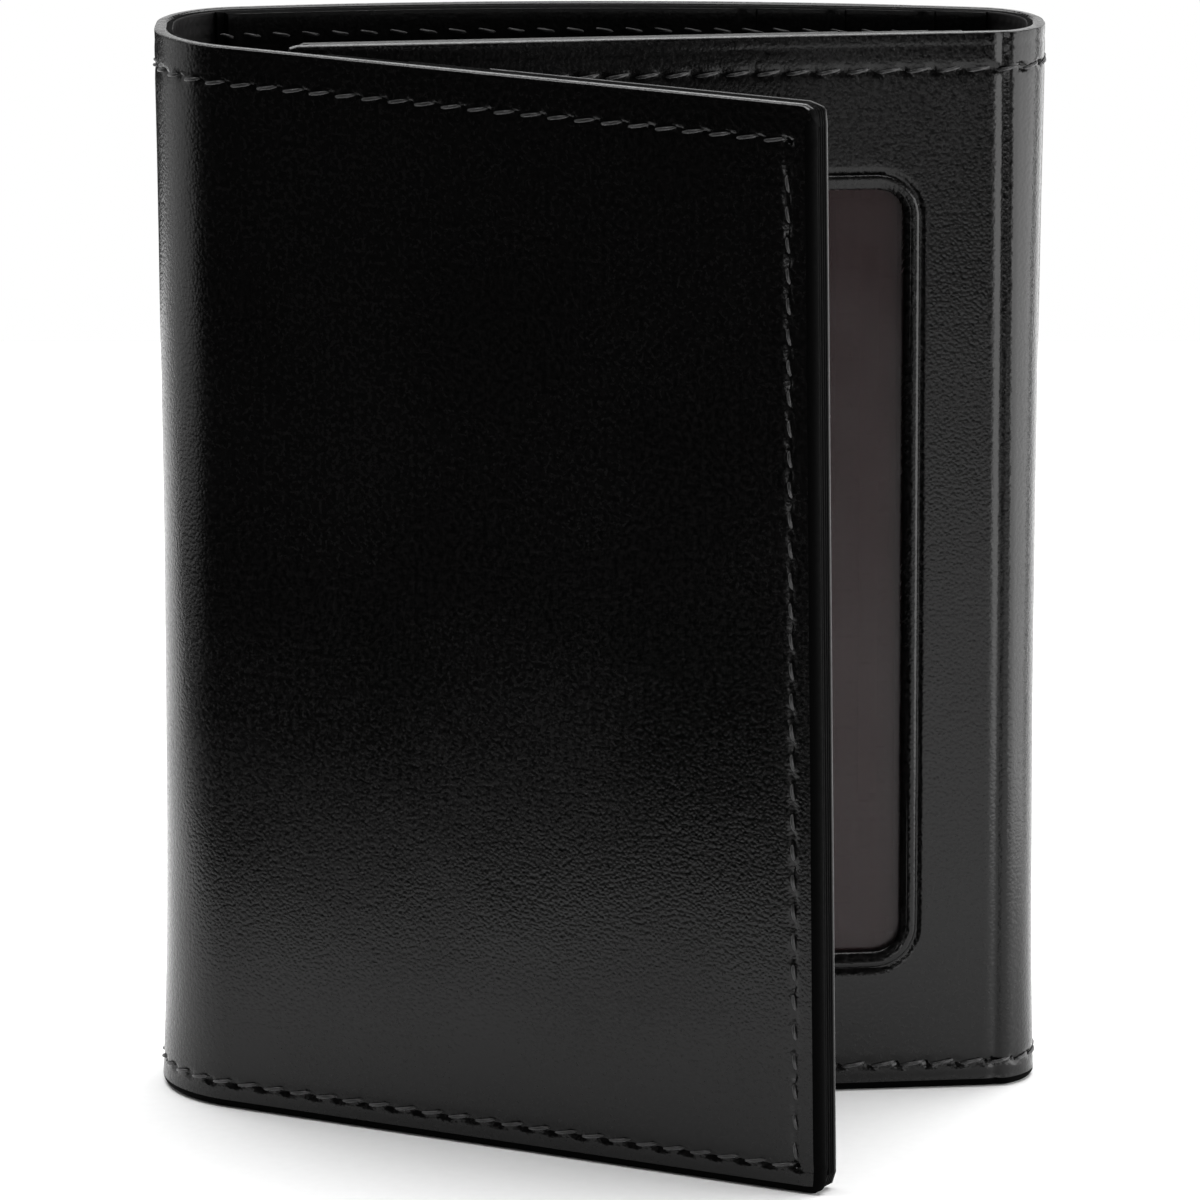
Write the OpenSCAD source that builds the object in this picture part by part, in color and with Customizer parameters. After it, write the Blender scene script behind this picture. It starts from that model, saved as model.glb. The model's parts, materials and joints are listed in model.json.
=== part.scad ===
// Trifold wallet, standing half open on its bottom edges.
// Seen from above: the back panel lies along X at the rear and bows away from the flaps, the outer
// flap is hinged at the left and stands open towards -Y, and the inner flap with its clear window is
// hinged at the right and lies between the two. Each fold is a narrow spine with a crease on each side.

/* [Panels] */
// Height of every panel
wallet_h = 108; // [100:0.5:116]
// Distance between the two rear creases
crease_gap = 86; // [84:0.5:92]
// Radius of the back panel's outer face, which bows outwards
bow_r = 205; // [180:5:400]
// Length of the outer flap from its crease to its free edge
outer_flap_l = 73.6; // [70:0.2:76]
// Length of the inner flap from its crease to its free edge
inner_flap_l = 71.5; // [69:0.1:71.5]
// Radius of the corners at the flaps' free edges
corner_r = 2; // [0.5:0.25:4]

/* [Folds] */
// Depth of the left fold, from rear crease to front crease
left_fold = 16.2; // [15.8:0.1:19]
// Depth of the right fold, from rear crease to front crease
right_fold = 11.35; // [10:0.05:11.5]
// Lean of the right spine towards the middle
right_lean = 12.2; // [8:0.2:16]
// Angle at which the outer flap stands open
outer_open = 28.8; // [28:0.2:40]
// Angle at which the inner flap stands open
inner_open = 6.8; // [2:0.2:7]
// Length of shell left out on each side of a crease
crease_relief = 0.4; // [0.3:0.05:0.8]

/* [Leather] */
// Thickness of the outer leather
shell_t = 1.2; // [0.8:0.1:1.4]
// Thickness of the lining that closes the note compartment
lining_t = 0.6; // [0.3:0.05:0.6]
// Thickness of the base sheet under the card slots
base_t = 0.5; // [0.3:0.05:0.5]
// Thickness of one card slot leaf
leaf_t = 0.4; // [0.2:0.05:0.4]
// Distance from the shell's edge to the edge of the lining
lining_inset = 0.5; // [0.2:0.1:1]
// Distance from the shell's edge to the edge of the pocket sheets
pocket_inset = 1; // [0.6:0.1:2]

/* [Card slots] */
// Distance from the outer flap's crease to its first slot opening
outer_slot_start = 18; // [18:0.5:24]
// Distance from the inner flap's crease to its first slot opening
inner_slot_start = 8; // [6:0.5:16]
// Distance from the middle of the back panel to its first slot opening
back_slot_start = 34; // [28:0.5:37]
// Step from one slot opening to the next
slot_step = 9; // [7:0.5:10]

/* [Window] */
// Width of the clear window
window_w = 50; // [44:0.5:54]
// Height of the clear window
window_h = 78; // [70:0.5:86]
// Distance from the inner flap's crease to the window
window_start = 10.7; // [9:0.1:13]
// Height of the window's lower edge above the bottom edge
window_z = 14.4; // [10:0.1:16]
// Radius of the window's corners
window_r = 2.7; // [1.5:0.1:5]
// Width of the pressed rim round the window
rim_w = 1.6; // [1:0.1:2.4]
// Height of the pressed rim
rim_h = 0.25; // [0.1:0.05:0.4]
// Thickness of the clear window sheet
film_t = 0.3; // [0.2:0.05:0.4]

/* [Thread] */
// Pitch of the stitches
stitch_pitch = 3; // [2.6:0.1:4]
// Length of one stitch
stitch_l = 2.2; // [1.6:0.1:2.4]
// Thickness of the thread
thread_w = 0.5; // [0.4:0.05:0.7]
// Height of a stitch above the leather
thread_h = 0.3; // [0.15:0.05:0.4]
// Distance from the top and bottom edges to the stitch rows
row_inset = 3.2; // [2.4:0.1:4.5]
// Distance from a flap's free edge to its stitch row
edge_inset = 2.8; // [2.4:0.1:4]

/* [Hidden] */
$fn = 48;

leather_colour = [0.06, 0.06, 0.065];
lining_colour = [0.12, 0.10, 0.10];
pocket_colour = [0.09, 0.09, 0.09];
thread_colour = [0.16, 0.16, 0.17];
film_colour = [0.30, 0.25, 0.27, 0.6];

// The three inner sheets lie one behind the other, measured inwards from the shell's inner face.
base_n = lining_t;
leaf_n = base_n + base_t;
// On the inner flap the clear sheet comes first and its backing takes the place of the lining.
backing_n = film_t;
inner_base_n = backing_n + lining_t - film_t / 2;
inner_leaf_n = inner_base_n + base_t;

// The rear creases stand on the inner face of the bowed shell.
rear_x = crease_gap / 2;
bow_inner_r = bow_r - shell_t;
bow_rise = sqrt(bow_inner_r * bow_inner_r - rear_x * rear_x);
// Middle of the box that the wallet fills, measured from the line of the two rear creases
front_y = -left_fold - outer_flap_l * sin(outer_open) - shell_t * cos(outer_open);
back_y = bow_r + thread_h - bow_rise;
left_x = -rear_x - shell_t - thread_h;
right_x = rear_x + (shell_t + thread_h) * cos(right_lean);
mid = [(left_x + right_x) / 2, (front_y + back_y) / 2];
bow_centre = [-mid[0], -bow_rise - mid[1]];
left_rear = [-rear_x - mid[0], -mid[1]];
right_rear = [rear_x - mid[0], -mid[1]];
left_front = left_rear + [0, -left_fold];
right_front = right_rear + right_fold * [-sin(right_lean), -cos(right_lean)];

// Places its children on a panel: +X from the crease along the panel, +Y inwards, +Z up.
module on_outer_flap() {
    translate([left_front[0], left_front[1], 0])
        rotate([0, 0, -outer_open])
            children();
}

module on_inner_flap() {
    translate([right_front[0], right_front[1], 0])
        rotate([0, 0, 180 + inner_open])
            mirror([0, 1, 0])
                children();
}

module on_left_spine() {
    translate([left_rear[0], left_rear[1], 0])
        rotate([0, 0, -90])
            children();
}

module on_right_spine() {
    translate([right_rear[0], right_rear[1], 0])
        rotate([0, 0, -90 - right_lean])
            mirror([0, 1, 0])
                children();
}

// Outline of a flat sheet from x0 to x1 whose two corners at x1 are rounded
module sheet_outline(x0, x1, inset, r) {
    z0 = inset;
    z1 = wallet_h - inset;
    translate([x0, z0])
        square([x1 - r - x0, z1 - z0]);
    translate([x1 - r, z0 + r])
        square([r, z1 - z0 - 2 * r]);
    for (z = [z0 + r, z1 - r])
        translate([x1 - r, z])
            circle(r = r);
}

// A flat sheet between the depths n0 and n1, measured inwards
module stand_up(n0, n1) {
    translate([0, n1, 0])
        rotate([90, 0, 0])
            linear_extrude(n1 - n0)
                children();
}

module flap_sheet(x0, x1, n0, t, inset) {
    stand_up(n0, n0 + t)
        sheet_outline(x0, x1, inset, corner_r);
}

module strip(x0, x1, n0, t, inset) {
    translate([x0, n0, inset])
        cube([x1 - x0, t, wallet_h - 2 * inset]);
}

// A sheet of the back panel, bowed about the vertical line at bow_centre
module bowed_sheet(x0, x1, n0, t, inset) {
    translate([0, 0, inset])
        linear_extrude(wallet_h - 2 * inset)
            intersection() {
                translate(bow_centre)
                    difference() {
                        circle(r = bow_inner_r - n0, $fn = 360);
                        circle(r = bow_inner_r - n0 - t, $fn = 360);
                    }
                translate([x0 - mid[0], 0])
                    square([x1 - x0, bow_r]);
            }
}

module stitch(along_z) {
    size = along_z ? [thread_w, thread_h, stitch_l] : [stitch_l, thread_h, thread_w];
    translate(-size / 2)
        cube(size);
}

// One row along the top edge and one along the bottom, from x0 to x1, on the shell's outer face
module edge_rows(x0, x1) {
    count = floor((x1 - x0 - stitch_l) / stitch_pitch) + 1;
    first = (x0 + x1 - (count - 1) * stitch_pitch) / 2;
    for (z = [row_inset, wallet_h - row_inset], i = [0 : count - 1])
        translate([first + i * stitch_pitch, -shell_t - thread_h / 2, z])
            stitch(false);
}

// A row up the free edge, between the top and bottom rows
module free_edge_row(x) {
    span = wallet_h - 2 * row_inset - 2 * thread_w - stitch_l;
    count = floor(span / stitch_pitch) + 1;
    first = (wallet_h - (count - 1) * stitch_pitch) / 2;
    for (i = [0 : count - 1])
        translate([x, -shell_t - thread_h / 2, first + i * stitch_pitch])
            stitch(true);
}

module window_outline(grow) {
    w = window_w + 2 * grow;
    h = window_h + 2 * grow;
    r = window_r + grow;
    translate([window_start - grow, window_z - grow]) {
        translate([r, 0])
            square([w - 2 * r, h]);
        translate([0, r])
            square([w, h - 2 * r]);
        for (x = [r, w - r], z = [r, h - r])
            translate([x, z])
                circle(r = r);
    }
}

// Back panel
module back_shell() {
    color(leather_colour)
        bowed_sheet(-rear_x + crease_relief, rear_x - crease_relief, -shell_t, shell_t, 0);
}

module back_lining() {
    relief = crease_relief + lining_t + 1;
    color(lining_colour)
        bowed_sheet(-rear_x + relief, rear_x - relief, 0, lining_t, lining_inset);
}

module back_pocket_base() {
    relief = crease_relief + leaf_n + 2;
    color(pocket_colour)
        bowed_sheet(-rear_x + relief, rear_x - relief, base_n, base_t, pocket_inset);
}

module back_card_slot(i) {
    relief = crease_relief + leaf_n + 3;
    color(pocket_colour)
        bowed_sheet(-rear_x + relief, back_slot_start - (i - 1) * slot_step,
                    leaf_n + (i - 1) * leaf_t, leaf_t, pocket_inset);
}

module back_stitches() {
    pitch_angle = stitch_pitch / bow_r * 180 / PI;
    count = floor((crease_gap - 2 * stitch_l) / stitch_pitch);
    color(thread_colour)
        for (z = [row_inset, wallet_h - row_inset], i = [0 : count - 1])
            translate([bow_centre[0], bow_centre[1], z])
                rotate([0, 0, (i - (count - 1) / 2) * pitch_angle])
                    translate([0, bow_r + thread_h / 2, 0])
                        stitch(false);
}

// Left spine
module left_spine_shell() {
    color(leather_colour)
        on_left_spine()
            strip(crease_relief, left_fold - crease_relief, -shell_t, shell_t, 0);
}

module left_spine_lining() {
    relief = crease_relief + lining_t + 0.4;
    color(lining_colour)
        on_left_spine()
            strip(relief, left_fold - relief, 0, lining_t, lining_inset);
}

module left_spine_stitches() {
    color(thread_colour)
        on_left_spine()
            edge_rows(crease_relief + 0.5, left_fold - crease_relief - 0.5);
}

// Outer flap
module outer_flap_shell() {
    color(leather_colour)
        on_outer_flap()
            flap_sheet(crease_relief, outer_flap_l, -shell_t, shell_t, 0);
}

module outer_flap_lining() {
    color(lining_colour)
        on_outer_flap()
            flap_sheet(crease_relief + lining_t + 0.4, outer_flap_l - lining_inset, 0, lining_t, lining_inset);
}

module outer_pocket_base() {
    color(pocket_colour)
        on_outer_flap()
            flap_sheet(outer_slot_start - 1, outer_flap_l - pocket_inset, base_n, base_t, pocket_inset);
}

module outer_card_slot(i) {
    color(pocket_colour)
        on_outer_flap()
            flap_sheet(outer_slot_start + (i - 1) * slot_step, outer_flap_l - pocket_inset,
                       leaf_n + (i - 1) * leaf_t, leaf_t, pocket_inset);
}

module outer_flap_stitches() {
    color(thread_colour)
        on_outer_flap() {
            edge_rows(crease_relief + 0.5, outer_flap_l - edge_inset - thread_w);
            free_edge_row(outer_flap_l - edge_inset);
        }
}

// Right spine
module right_spine_shell() {
    color(leather_colour)
        on_right_spine()
            strip(crease_relief, right_fold - crease_relief, -shell_t, shell_t, 0);
}

module right_spine_lining() {
    relief = crease_relief + lining_t + 0.4;
    color(lining_colour)
        on_right_spine()
            strip(relief, right_fold - relief, 0, lining_t, lining_inset);
}

module right_spine_stitches() {
    color(thread_colour)
        on_right_spine()
            edge_rows(crease_relief + 0.5, right_fold - crease_relief - 0.5);
}

// Inner flap
module inner_flap_shell() {
    color(leather_colour)
        on_inner_flap()
            difference() {
                union() {
                    flap_sheet(crease_relief, inner_flap_l, -shell_t, shell_t, 0);
                    stand_up(-shell_t - rim_h, -shell_t / 2)
                        window_outline(rim_w);
                }
                stand_up(-shell_t - 1, 1)
                    window_outline(0);
            }
}

module id_window() {
    color(film_colour)
        on_inner_flap()
            flap_sheet(window_start - 4, inner_flap_l - edge_inset - 1, 0, film_t, window_z - 6);
}

module id_pocket_backing() {
    color(lining_colour)
        on_inner_flap()
            flap_sheet(window_start - 6, inner_flap_l - lining_inset,
                       backing_n, inner_base_n - backing_n, lining_inset);
}

module inner_pocket_base() {
    color(pocket_colour)
        on_inner_flap()
            flap_sheet(window_start - 6, inner_flap_l - pocket_inset, inner_base_n, base_t, pocket_inset);
}

module inner_card_slot(i) {
    color(pocket_colour)
        on_inner_flap()
            flap_sheet(inner_slot_start + (i - 1) * slot_step, inner_flap_l - pocket_inset,
                       inner_leaf_n + (i - 1) * leaf_t, leaf_t, pocket_inset);
}

module inner_flap_stitches() {
    color(thread_colour)
        on_inner_flap() {
            edge_rows(crease_relief + 0.5, inner_flap_l - edge_inset - thread_w);
            free_edge_row(inner_flap_l - edge_inset);
        }
}

back_shell();
back_lining();
back_pocket_base();
back_card_slot(1);  // back_card_slot_1
back_card_slot(2);  // back_card_slot_2
back_card_slot(3);  // back_card_slot_3
back_stitches();
left_spine_shell();
left_spine_lining();
left_spine_stitches();
outer_flap_shell();
outer_flap_lining();
outer_pocket_base();
outer_card_slot(1);  // outer_card_slot_1
outer_card_slot(2);  // outer_card_slot_2
outer_card_slot(3);  // outer_card_slot_3
outer_flap_stitches();
right_spine_shell();
right_spine_lining();
right_spine_stitches();
inner_flap_shell();
id_window();
id_pocket_backing();
inner_pocket_base();
inner_card_slot(1);  // inner_card_slot_1
inner_card_slot(2);  // inner_card_slot_2
inner_flap_stitches();
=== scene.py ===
"""Trifold wallet in polished black leather, standing half open on a pale floor.

Every leather sheet is cut flat, with its edges rounded and its grooves pressed in, and is then bent
along one plan line that runs from the outer flap's free edge, round the left fold, across the back,
round the right fold and out to the inner flap's free edge. Lengths are in millimetres until a piece
is placed, and in metres from then on.
"""
import json
import math

import bmesh
import bpy
from mathutils import Matrix, Vector, noise


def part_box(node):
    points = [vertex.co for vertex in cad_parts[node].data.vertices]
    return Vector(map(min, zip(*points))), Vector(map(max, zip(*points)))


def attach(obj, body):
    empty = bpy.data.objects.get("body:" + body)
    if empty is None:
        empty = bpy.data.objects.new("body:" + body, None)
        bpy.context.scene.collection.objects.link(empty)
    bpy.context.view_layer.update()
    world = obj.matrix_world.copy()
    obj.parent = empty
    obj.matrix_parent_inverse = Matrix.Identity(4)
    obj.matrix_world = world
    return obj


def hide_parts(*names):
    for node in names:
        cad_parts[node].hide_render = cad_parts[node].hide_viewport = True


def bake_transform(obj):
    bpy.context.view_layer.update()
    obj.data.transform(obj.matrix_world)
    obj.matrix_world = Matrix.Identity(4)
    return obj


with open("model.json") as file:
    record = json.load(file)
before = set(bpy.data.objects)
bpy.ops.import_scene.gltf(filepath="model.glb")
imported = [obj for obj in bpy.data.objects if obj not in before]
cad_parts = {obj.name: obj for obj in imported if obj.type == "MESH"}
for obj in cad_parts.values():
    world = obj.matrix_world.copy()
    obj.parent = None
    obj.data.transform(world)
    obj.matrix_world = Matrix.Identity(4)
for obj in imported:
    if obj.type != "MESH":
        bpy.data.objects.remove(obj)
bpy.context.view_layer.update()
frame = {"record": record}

MM = 0.001

# ---------------------------------------------------------------- sizes, from the frame

JOINTS = {j["name"]: j for j in frame["record"]["behaviour"]["joints"]}


def crease_point(name):
    x, y, z = JOINTS[name]["pos_m"]
    return Vector((x, y)) / MM


LEFT_REAR = crease_point("left_rear_crease")
LEFT_FRONT = crease_point("left_front_crease")
RIGHT_REAR = crease_point("right_rear_crease")
RIGHT_FRONT = crease_point("right_front_crease")
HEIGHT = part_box("outer_flap_shell")[1].z / MM
BACK_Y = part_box("back_shell")[1].y / MM

# The leather: thickness, corner radius, the back's bow, and how far each flap stands open and reaches
SHELL = 1.2
CORNER_R = 1.4
BOW_R = 205.0
OUTER_OPEN = math.radians(28.8)
INNER_OPEN = math.radians(6.8)
OUTER_L = 73.6
INNER_L = 71.5
INNER_SPARE = 0.4

# Thicknesses inside: lining, the sheet behind the slots, a slot leaf, the window's film and its backing
LINING = 0.6
BASE = 0.5
LEAF = 0.4
FILM_T = 0.3
BACKING_T = 0.45

# Card slots: mouths SLOT_STEP apart from the first, measured from each flap's crease or the back's middle
SLOT_STEP = 9.0
OUTER_POCKET_FROM = 17.0
OUTER_MOUTH = 18.0
BACK_POCKET_HALF = 39.5
BACK_SLOT_FROM = -38.5
BACK_MOUTH = 34.0
INNER_POCKET_FROM = 4.7
INNER_MOUTH = 8.0
LINING_TO = 4.2
FILM_FROM = 7.6
FILM_TO = 67.6

# The clear window, from the inner flap's crease and the foot

WINDOW_START = 10.7
WINDOW_W = 50.0
WINDOW_H = 78.0
WINDOW_Z = 14.4
WINDOW_R = 2.7
RIM_W = 1.65

# Stitching: pitch, strand lengths, and how far each row lies from its edge
PITCH = 3.0
STITCH_L = 2.5
UPRIGHT_L = 1.9
ROW_TOP = 3.6
ROW_BOTTOM = 2.7
ROW_EDGE = 2.8
BACK_ROW_TOP = 2.4


# ---------------------------------------------------------------- the plan line

class Plan:
    """A plan line of straight and round stretches, all turning clockwise, measured along its length."""

    def __init__(self, start, heading):
        self.runs = []
        self.length = 0.0
        self.point = start.copy()
        self.heading = heading

    def line(self, length):
        self.runs.append((self.length, length, self.point.copy(), self.heading, 0.0))
        self.point = self.point + length * direction(self.heading)
        self.length += length
        return self.length

    def arc(self, radius, turn):
        self.runs.append((self.length, radius * turn, self.point.copy(), self.heading, 1.0 / radius))
        centre = self.point + radius * direction(self.heading - math.pi / 2)
        self.heading -= turn
        self.point = centre - radius * direction(self.heading - math.pi / 2)
        self.length += radius * turn
        return self.length

    def at(self, s):
        """Point and inward direction at the distance s along the line."""
        run = self.runs[0]
        for candidate in self.runs:
            if s >= candidate[0]:
                run = candidate
        start, length, point, heading, bend = run
        step = s - start
        if bend == 0.0:
            return point + step * direction(heading), direction(heading - math.pi / 2)
        centre = point + direction(heading - math.pi / 2) / bend
        inward = direction(heading - step * bend - math.pi / 2)
        return centre - inward / bend, inward


def direction(angle):
    return Vector((math.cos(angle), math.sin(angle)))


LEFT_X = LEFT_REAR.x - SHELL
RIGHT_X = RIGHT_REAR.x + SHELL
BACK_CENTRE = Vector((0.0, BACK_Y - BOW_R))
# Outside radii of the four folded corners, and of the tighter crease beside the inner flap
FRONT_LEFT_R = 13.0
REAR_LEFT_R = 9.0
REAR_RIGHT_R = 7.5
FRONT_RIGHT_R = 5.6
KINK_R = 3.0

outer_dir = direction(-OUTER_OPEN)
outer_inward = direction(math.pi / 2 - OUTER_OPEN)
free_edge = LEFT_FRONT + OUTER_L * outer_dir - SHELL * outer_inward
inner_inward = direction(math.pi / 2 + INNER_OPEN)
inner_crease = RIGHT_FRONT - SHELL * inner_inward


def fillet_centre(x, radius):
    """Centre of the round corner between the upright line at x and the bowed back."""
    cx = x - math.copysign(radius, x)
    rise = math.sqrt((BOW_R - radius) ** 2 - cx ** 2)
    return Vector((cx, BACK_CENTRE.y + rise))


plan = Plan(free_edge, math.pi - OUTER_OPEN)
to_corner = (free_edge.x - LEFT_X) / math.cos(OUTER_OPEN)
front_turn = math.pi / 2 - OUTER_OPEN
tangent = FRONT_LEFT_R * math.tan(front_turn / 2)
S_LEFT_FRONT = plan.line(to_corner - tangent)
plan.arc(FRONT_LEFT_R, front_turn)
rear_left = fillet_centre(LEFT_X, REAR_LEFT_R)
spine_line = rear_left.y - plan.point.y
S_LEFT_MID = plan.length + spine_line / 2
plan.line(spine_line)
left_tilt = math.asin(-rear_left.x / (BOW_R - REAR_LEFT_R))
S_LEFT_REAR = plan.arc(REAR_LEFT_R, math.pi / 2 - left_tilt)
rear_right = fillet_centre(RIGHT_X, REAR_RIGHT_R)
right_tilt = math.asin(rear_right.x / (BOW_R - REAR_RIGHT_R))
S_BACK_MID = plan.length + BOW_R * left_tilt
S_RIGHT_REAR = plan.arc(BOW_R, left_tilt + right_tilt)
plan.arc(REAR_RIGHT_R, math.pi / 2 - right_tilt)
bulge_x = RIGHT_X - FRONT_RIGHT_R
bulge_y = inner_crease.y + math.sqrt(FRONT_RIGHT_R ** 2 - (inner_crease.x - bulge_x) ** 2)
bulge_turn = math.atan2(bulge_y - inner_crease.y, inner_crease.x - bulge_x)
kink_turn = math.pi / 2 - INNER_OPEN - bulge_turn
# The small round kink ends a hair outside the flap's own line, so it starts that much further back.
kink_rise = KINK_R * (1 - math.cos(kink_turn))
right_line = plan.point.y - bulge_y - kink_rise
S_RIGHT_MID = plan.length + right_line / 2
plan.line(right_line)
S_CREASE = plan.arc(FRONT_RIGHT_R, bulge_turn)
plan.arc(KINK_R, kink_turn)
plan.line(INNER_L - KINK_R * kink_turn)
S_END = plan.length

# For the left and the right fold: how far it is drawn in, the height where it is narrowest, and how much
# of that is let out again at the foot. It starts at WAIST_FROM and is full at RIGHT_X from the middle.
WAISTS = ((0.55, 38.0, 1.0), (0.65, 30.0, 0.55))
WAIST_FROM = (36.0, 41.2)


def waist(x, z):
    """How far the fold on the side of x is drawn in at the height z."""
    most, narrow_z, low_share = WAISTS[0] if x < 0 else WAISTS[1]
    if z > narrow_z:
        return most * (1 - min(1, (z - narrow_z) / (HEIGHT - narrow_z - 3)) ** 2)
    return most * (1 - low_share * min(1, (narrow_z - z) / (narrow_z - 1)) ** 3)


# The outer flap hangs a little askew: its free edge stands further out at the foot than at the top.
SKEW = 1.5


def place(s, n, z):
    """The point at s along the plan line, n inwards from the leather's outer face and z up, in metres."""
    s -= SKEW * (0.5 - z / HEIGHT) * min(1.0, max(0.0, 1 - s / S_LEFT_FRONT))
    point, inward = plan.at(s)
    point = point + n * inward
    start = WAIST_FROM[0] if point.x < 0 else WAIST_FROM[1]
    reach = min(1.0, max(0.0, (abs(point.x) - start) / (RIGHT_X - start)))
    x = point.x - math.copysign(waist(point.x, z) * reach, point.x)
    return Vector((x, point.y, z)) * MM


# ---------------------------------------------------------------- materials

def linear(hex_colour):
    """An sRGB hex colour as linear RGBA."""
    parts = [int(hex_colour[i:i + 2], 16) / 255 for i in (1, 3, 5)]
    return (*[p / 12.92 if p <= 0.04045 else ((p + 0.055) / 1.055) ** 2.4 for p in parts], 1.0)


def add(tree, kind, inputs=None, **settings):
    """Adds one node with its settings, and sets or links its inputs."""
    made = tree.nodes.new(kind)
    for key, value in settings.items():
        setattr(made, key, value)
    for key, value in (inputs or {}).items():
        if isinstance(value, bpy.types.NodeSocket):
            tree.links.new(value, made.inputs[key])
        else:
            made.inputs[key].default_value = value
    return made


def new_material(name):
    """An empty node material with a Principled shader on its output."""
    material = bpy.data.materials.new(name)
    material.use_nodes = True
    tree = material.node_tree
    tree.nodes.clear()
    shader = add(tree, "ShaderNodeBsdfPrincipled")
    add(tree, "ShaderNodeOutputMaterial", {"Surface": shader.outputs[0]})
    return material, tree, shader


def ramp(tree, source, low, high, to_low, to_high):
    """source from low..high, mapped to to_low..to_high."""
    values = {"Value": source, "From Min": low, "From Max": high, "To Min": to_low, "To Max": to_high}
    return add(tree, "ShaderNodeMapRange", values).outputs["Result"]


def blend_colours(tree, factor, hex_a, hex_b):
    """A colour that runs from hex_a to hex_b with the factor."""
    made = add(tree, "ShaderNodeMix", data_type="RGBA")
    made.inputs[6].default_value = linear(hex_a)
    made.inputs[7].default_value = linear(hex_b)
    tree.links.new(factor, made.inputs[0])
    return made.outputs[2]


# Sheets carry a UV map in tenths of a metre, so one UV unit is 100 mm of leather.
UV_MM = 100.0

# Pattern sizes in millimetres
WRINKLE = 5.0
GLAZE_PATCH = 22.0
EDGE_FIBRE = 0.4
PLY_TWIST = 1.3823
THREAD_FUZZ = 0.25
WEAVE = 1.1843
DRAWN_STREAK = 1.4
FILM_SWELL = 18.0
CARD_FIBRE = 1.2

# Width of one band of a wave texture at scale 1, straight and diagonal
BAND = math.tau / 20
DIAGONAL_BAND = math.tau / 10


def leather(name, dark, light, rough, grain, depth):
    """Aniline calf, glazed: pebbled by fine hair-cell grain, with faint stretch lines along the hide."""
    material, tree, shader = new_material(name)
    uv = add(tree, "ShaderNodeUVMap", uv_map="hide").outputs["UV"]
    # Cells of the grain, each a small pebble with a soft valley round it
    cells = add(tree, "ShaderNodeTexVoronoi", {"Vector": uv, "Scale": UV_MM / grain, "Smoothness": 0.35},
                feature="SMOOTH_F1", voronoi_dimensions="2D")
    pebbles = ramp(tree, cells.outputs["Distance"], 0.0, 0.7, 1.0, 0.0)
    # Pores and short wrinkles that break the cells up
    fine = add(tree, "ShaderNodeTexNoise", {"Vector": uv, "Scale": UV_MM / (grain * 1.3), "Detail": 4.0,
                                            "Roughness": 0.62}, noise_dimensions="2D")
    lines = add(tree, "ShaderNodeTexNoise", {"Vector": uv, "Scale": UV_MM / WRINKLE, "Detail": 4.0,
                                             "Roughness": 0.5, "Distortion": 0.4}, noise_dimensions="2D")
    # Slow change of gloss where the glaze is thicker or has been handled, and a quick one in the grain
    patches = add(tree, "ShaderNodeTexNoise", {"Vector": uv, "Scale": UV_MM / GLAZE_PATCH, "Detail": 2.0},
                  noise_dimensions="2D")
    slow = ramp(tree, patches.outputs["Fac"], 0.3, 0.7, rough - 0.03, rough + 0.04)
    quick = ramp(tree, fine.outputs["Fac"], 0.35, 0.65, -0.05, 0.07)
    rough_map = add(tree, "ShaderNodeMath", {0: slow, 1: quick}, operation="ADD").outputs[0]
    mottled = ramp(tree, fine.outputs["Fac"], 0.35, 0.7, 0.0, 1.0)
    colour = blend_colours(tree, mottled, dark, light)
    bump_cells = add(tree, "ShaderNodeBump", {"Height": pebbles, "Strength": 1.0, "Distance": depth * MM})
    bump_fine = add(tree, "ShaderNodeBump", {"Height": fine.outputs["Fac"], "Strength": 1.0,
                                             "Distance": depth * 1.6 * MM,
                                             "Normal": bump_cells.outputs[0]})
    bump_lines = add(tree, "ShaderNodeBump", {"Height": lines.outputs["Fac"], "Strength": 1.0,
                                              "Distance": depth * 2.0 * MM,
                                              "Normal": bump_fine.outputs[0]})
    tree.links.new(colour, shader.inputs["Base Color"])
    tree.links.new(rough_map, shader.inputs["Roughness"])
    tree.links.new(bump_lines.outputs[0], shader.inputs["Normal"])
    shader.inputs["IOR"].default_value = 1.5
    shader.inputs["Specular IOR Level"].default_value = 0.3
    return material


def dye_and_painted_foot_shade():
    """Dyed and burnished edges: raw leather fibres under matt black dye, so the rims stay dark. Along the
    foot the same matt black band is painted shade, standing in for the shade and contact shadow under the
    rounded foot.
    """
    material, tree, shader = new_material("dyed_edge_and_painted_foot_shade")
    where = add(tree, "ShaderNodeTexCoord").outputs["Object"]
    fibres = add(tree, "ShaderNodeTexNoise", {"Vector": where, "Scale": 1 / (EDGE_FIBRE * MM), "Detail": 3.0})
    bump = add(tree, "ShaderNodeBump", {"Height": fibres.outputs["Fac"], "Strength": 0.6,
                                        "Distance": 0.03 * MM})
    colour = blend_colours(tree, fibres.outputs["Fac"], "#020202", "#050505")
    tree.links.new(colour, shader.inputs["Base Color"])
    tree.links.new(bump.outputs[0], shader.inputs["Normal"])
    tree.links.new(ramp(tree, fibres.outputs["Fac"], 0.3, 0.7, 0.62, 0.78), shader.inputs["Roughness"])
    shader.inputs["IOR"].default_value = 1.3
    shader.inputs["Specular IOR Level"].default_value = 0.04
    return material


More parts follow.
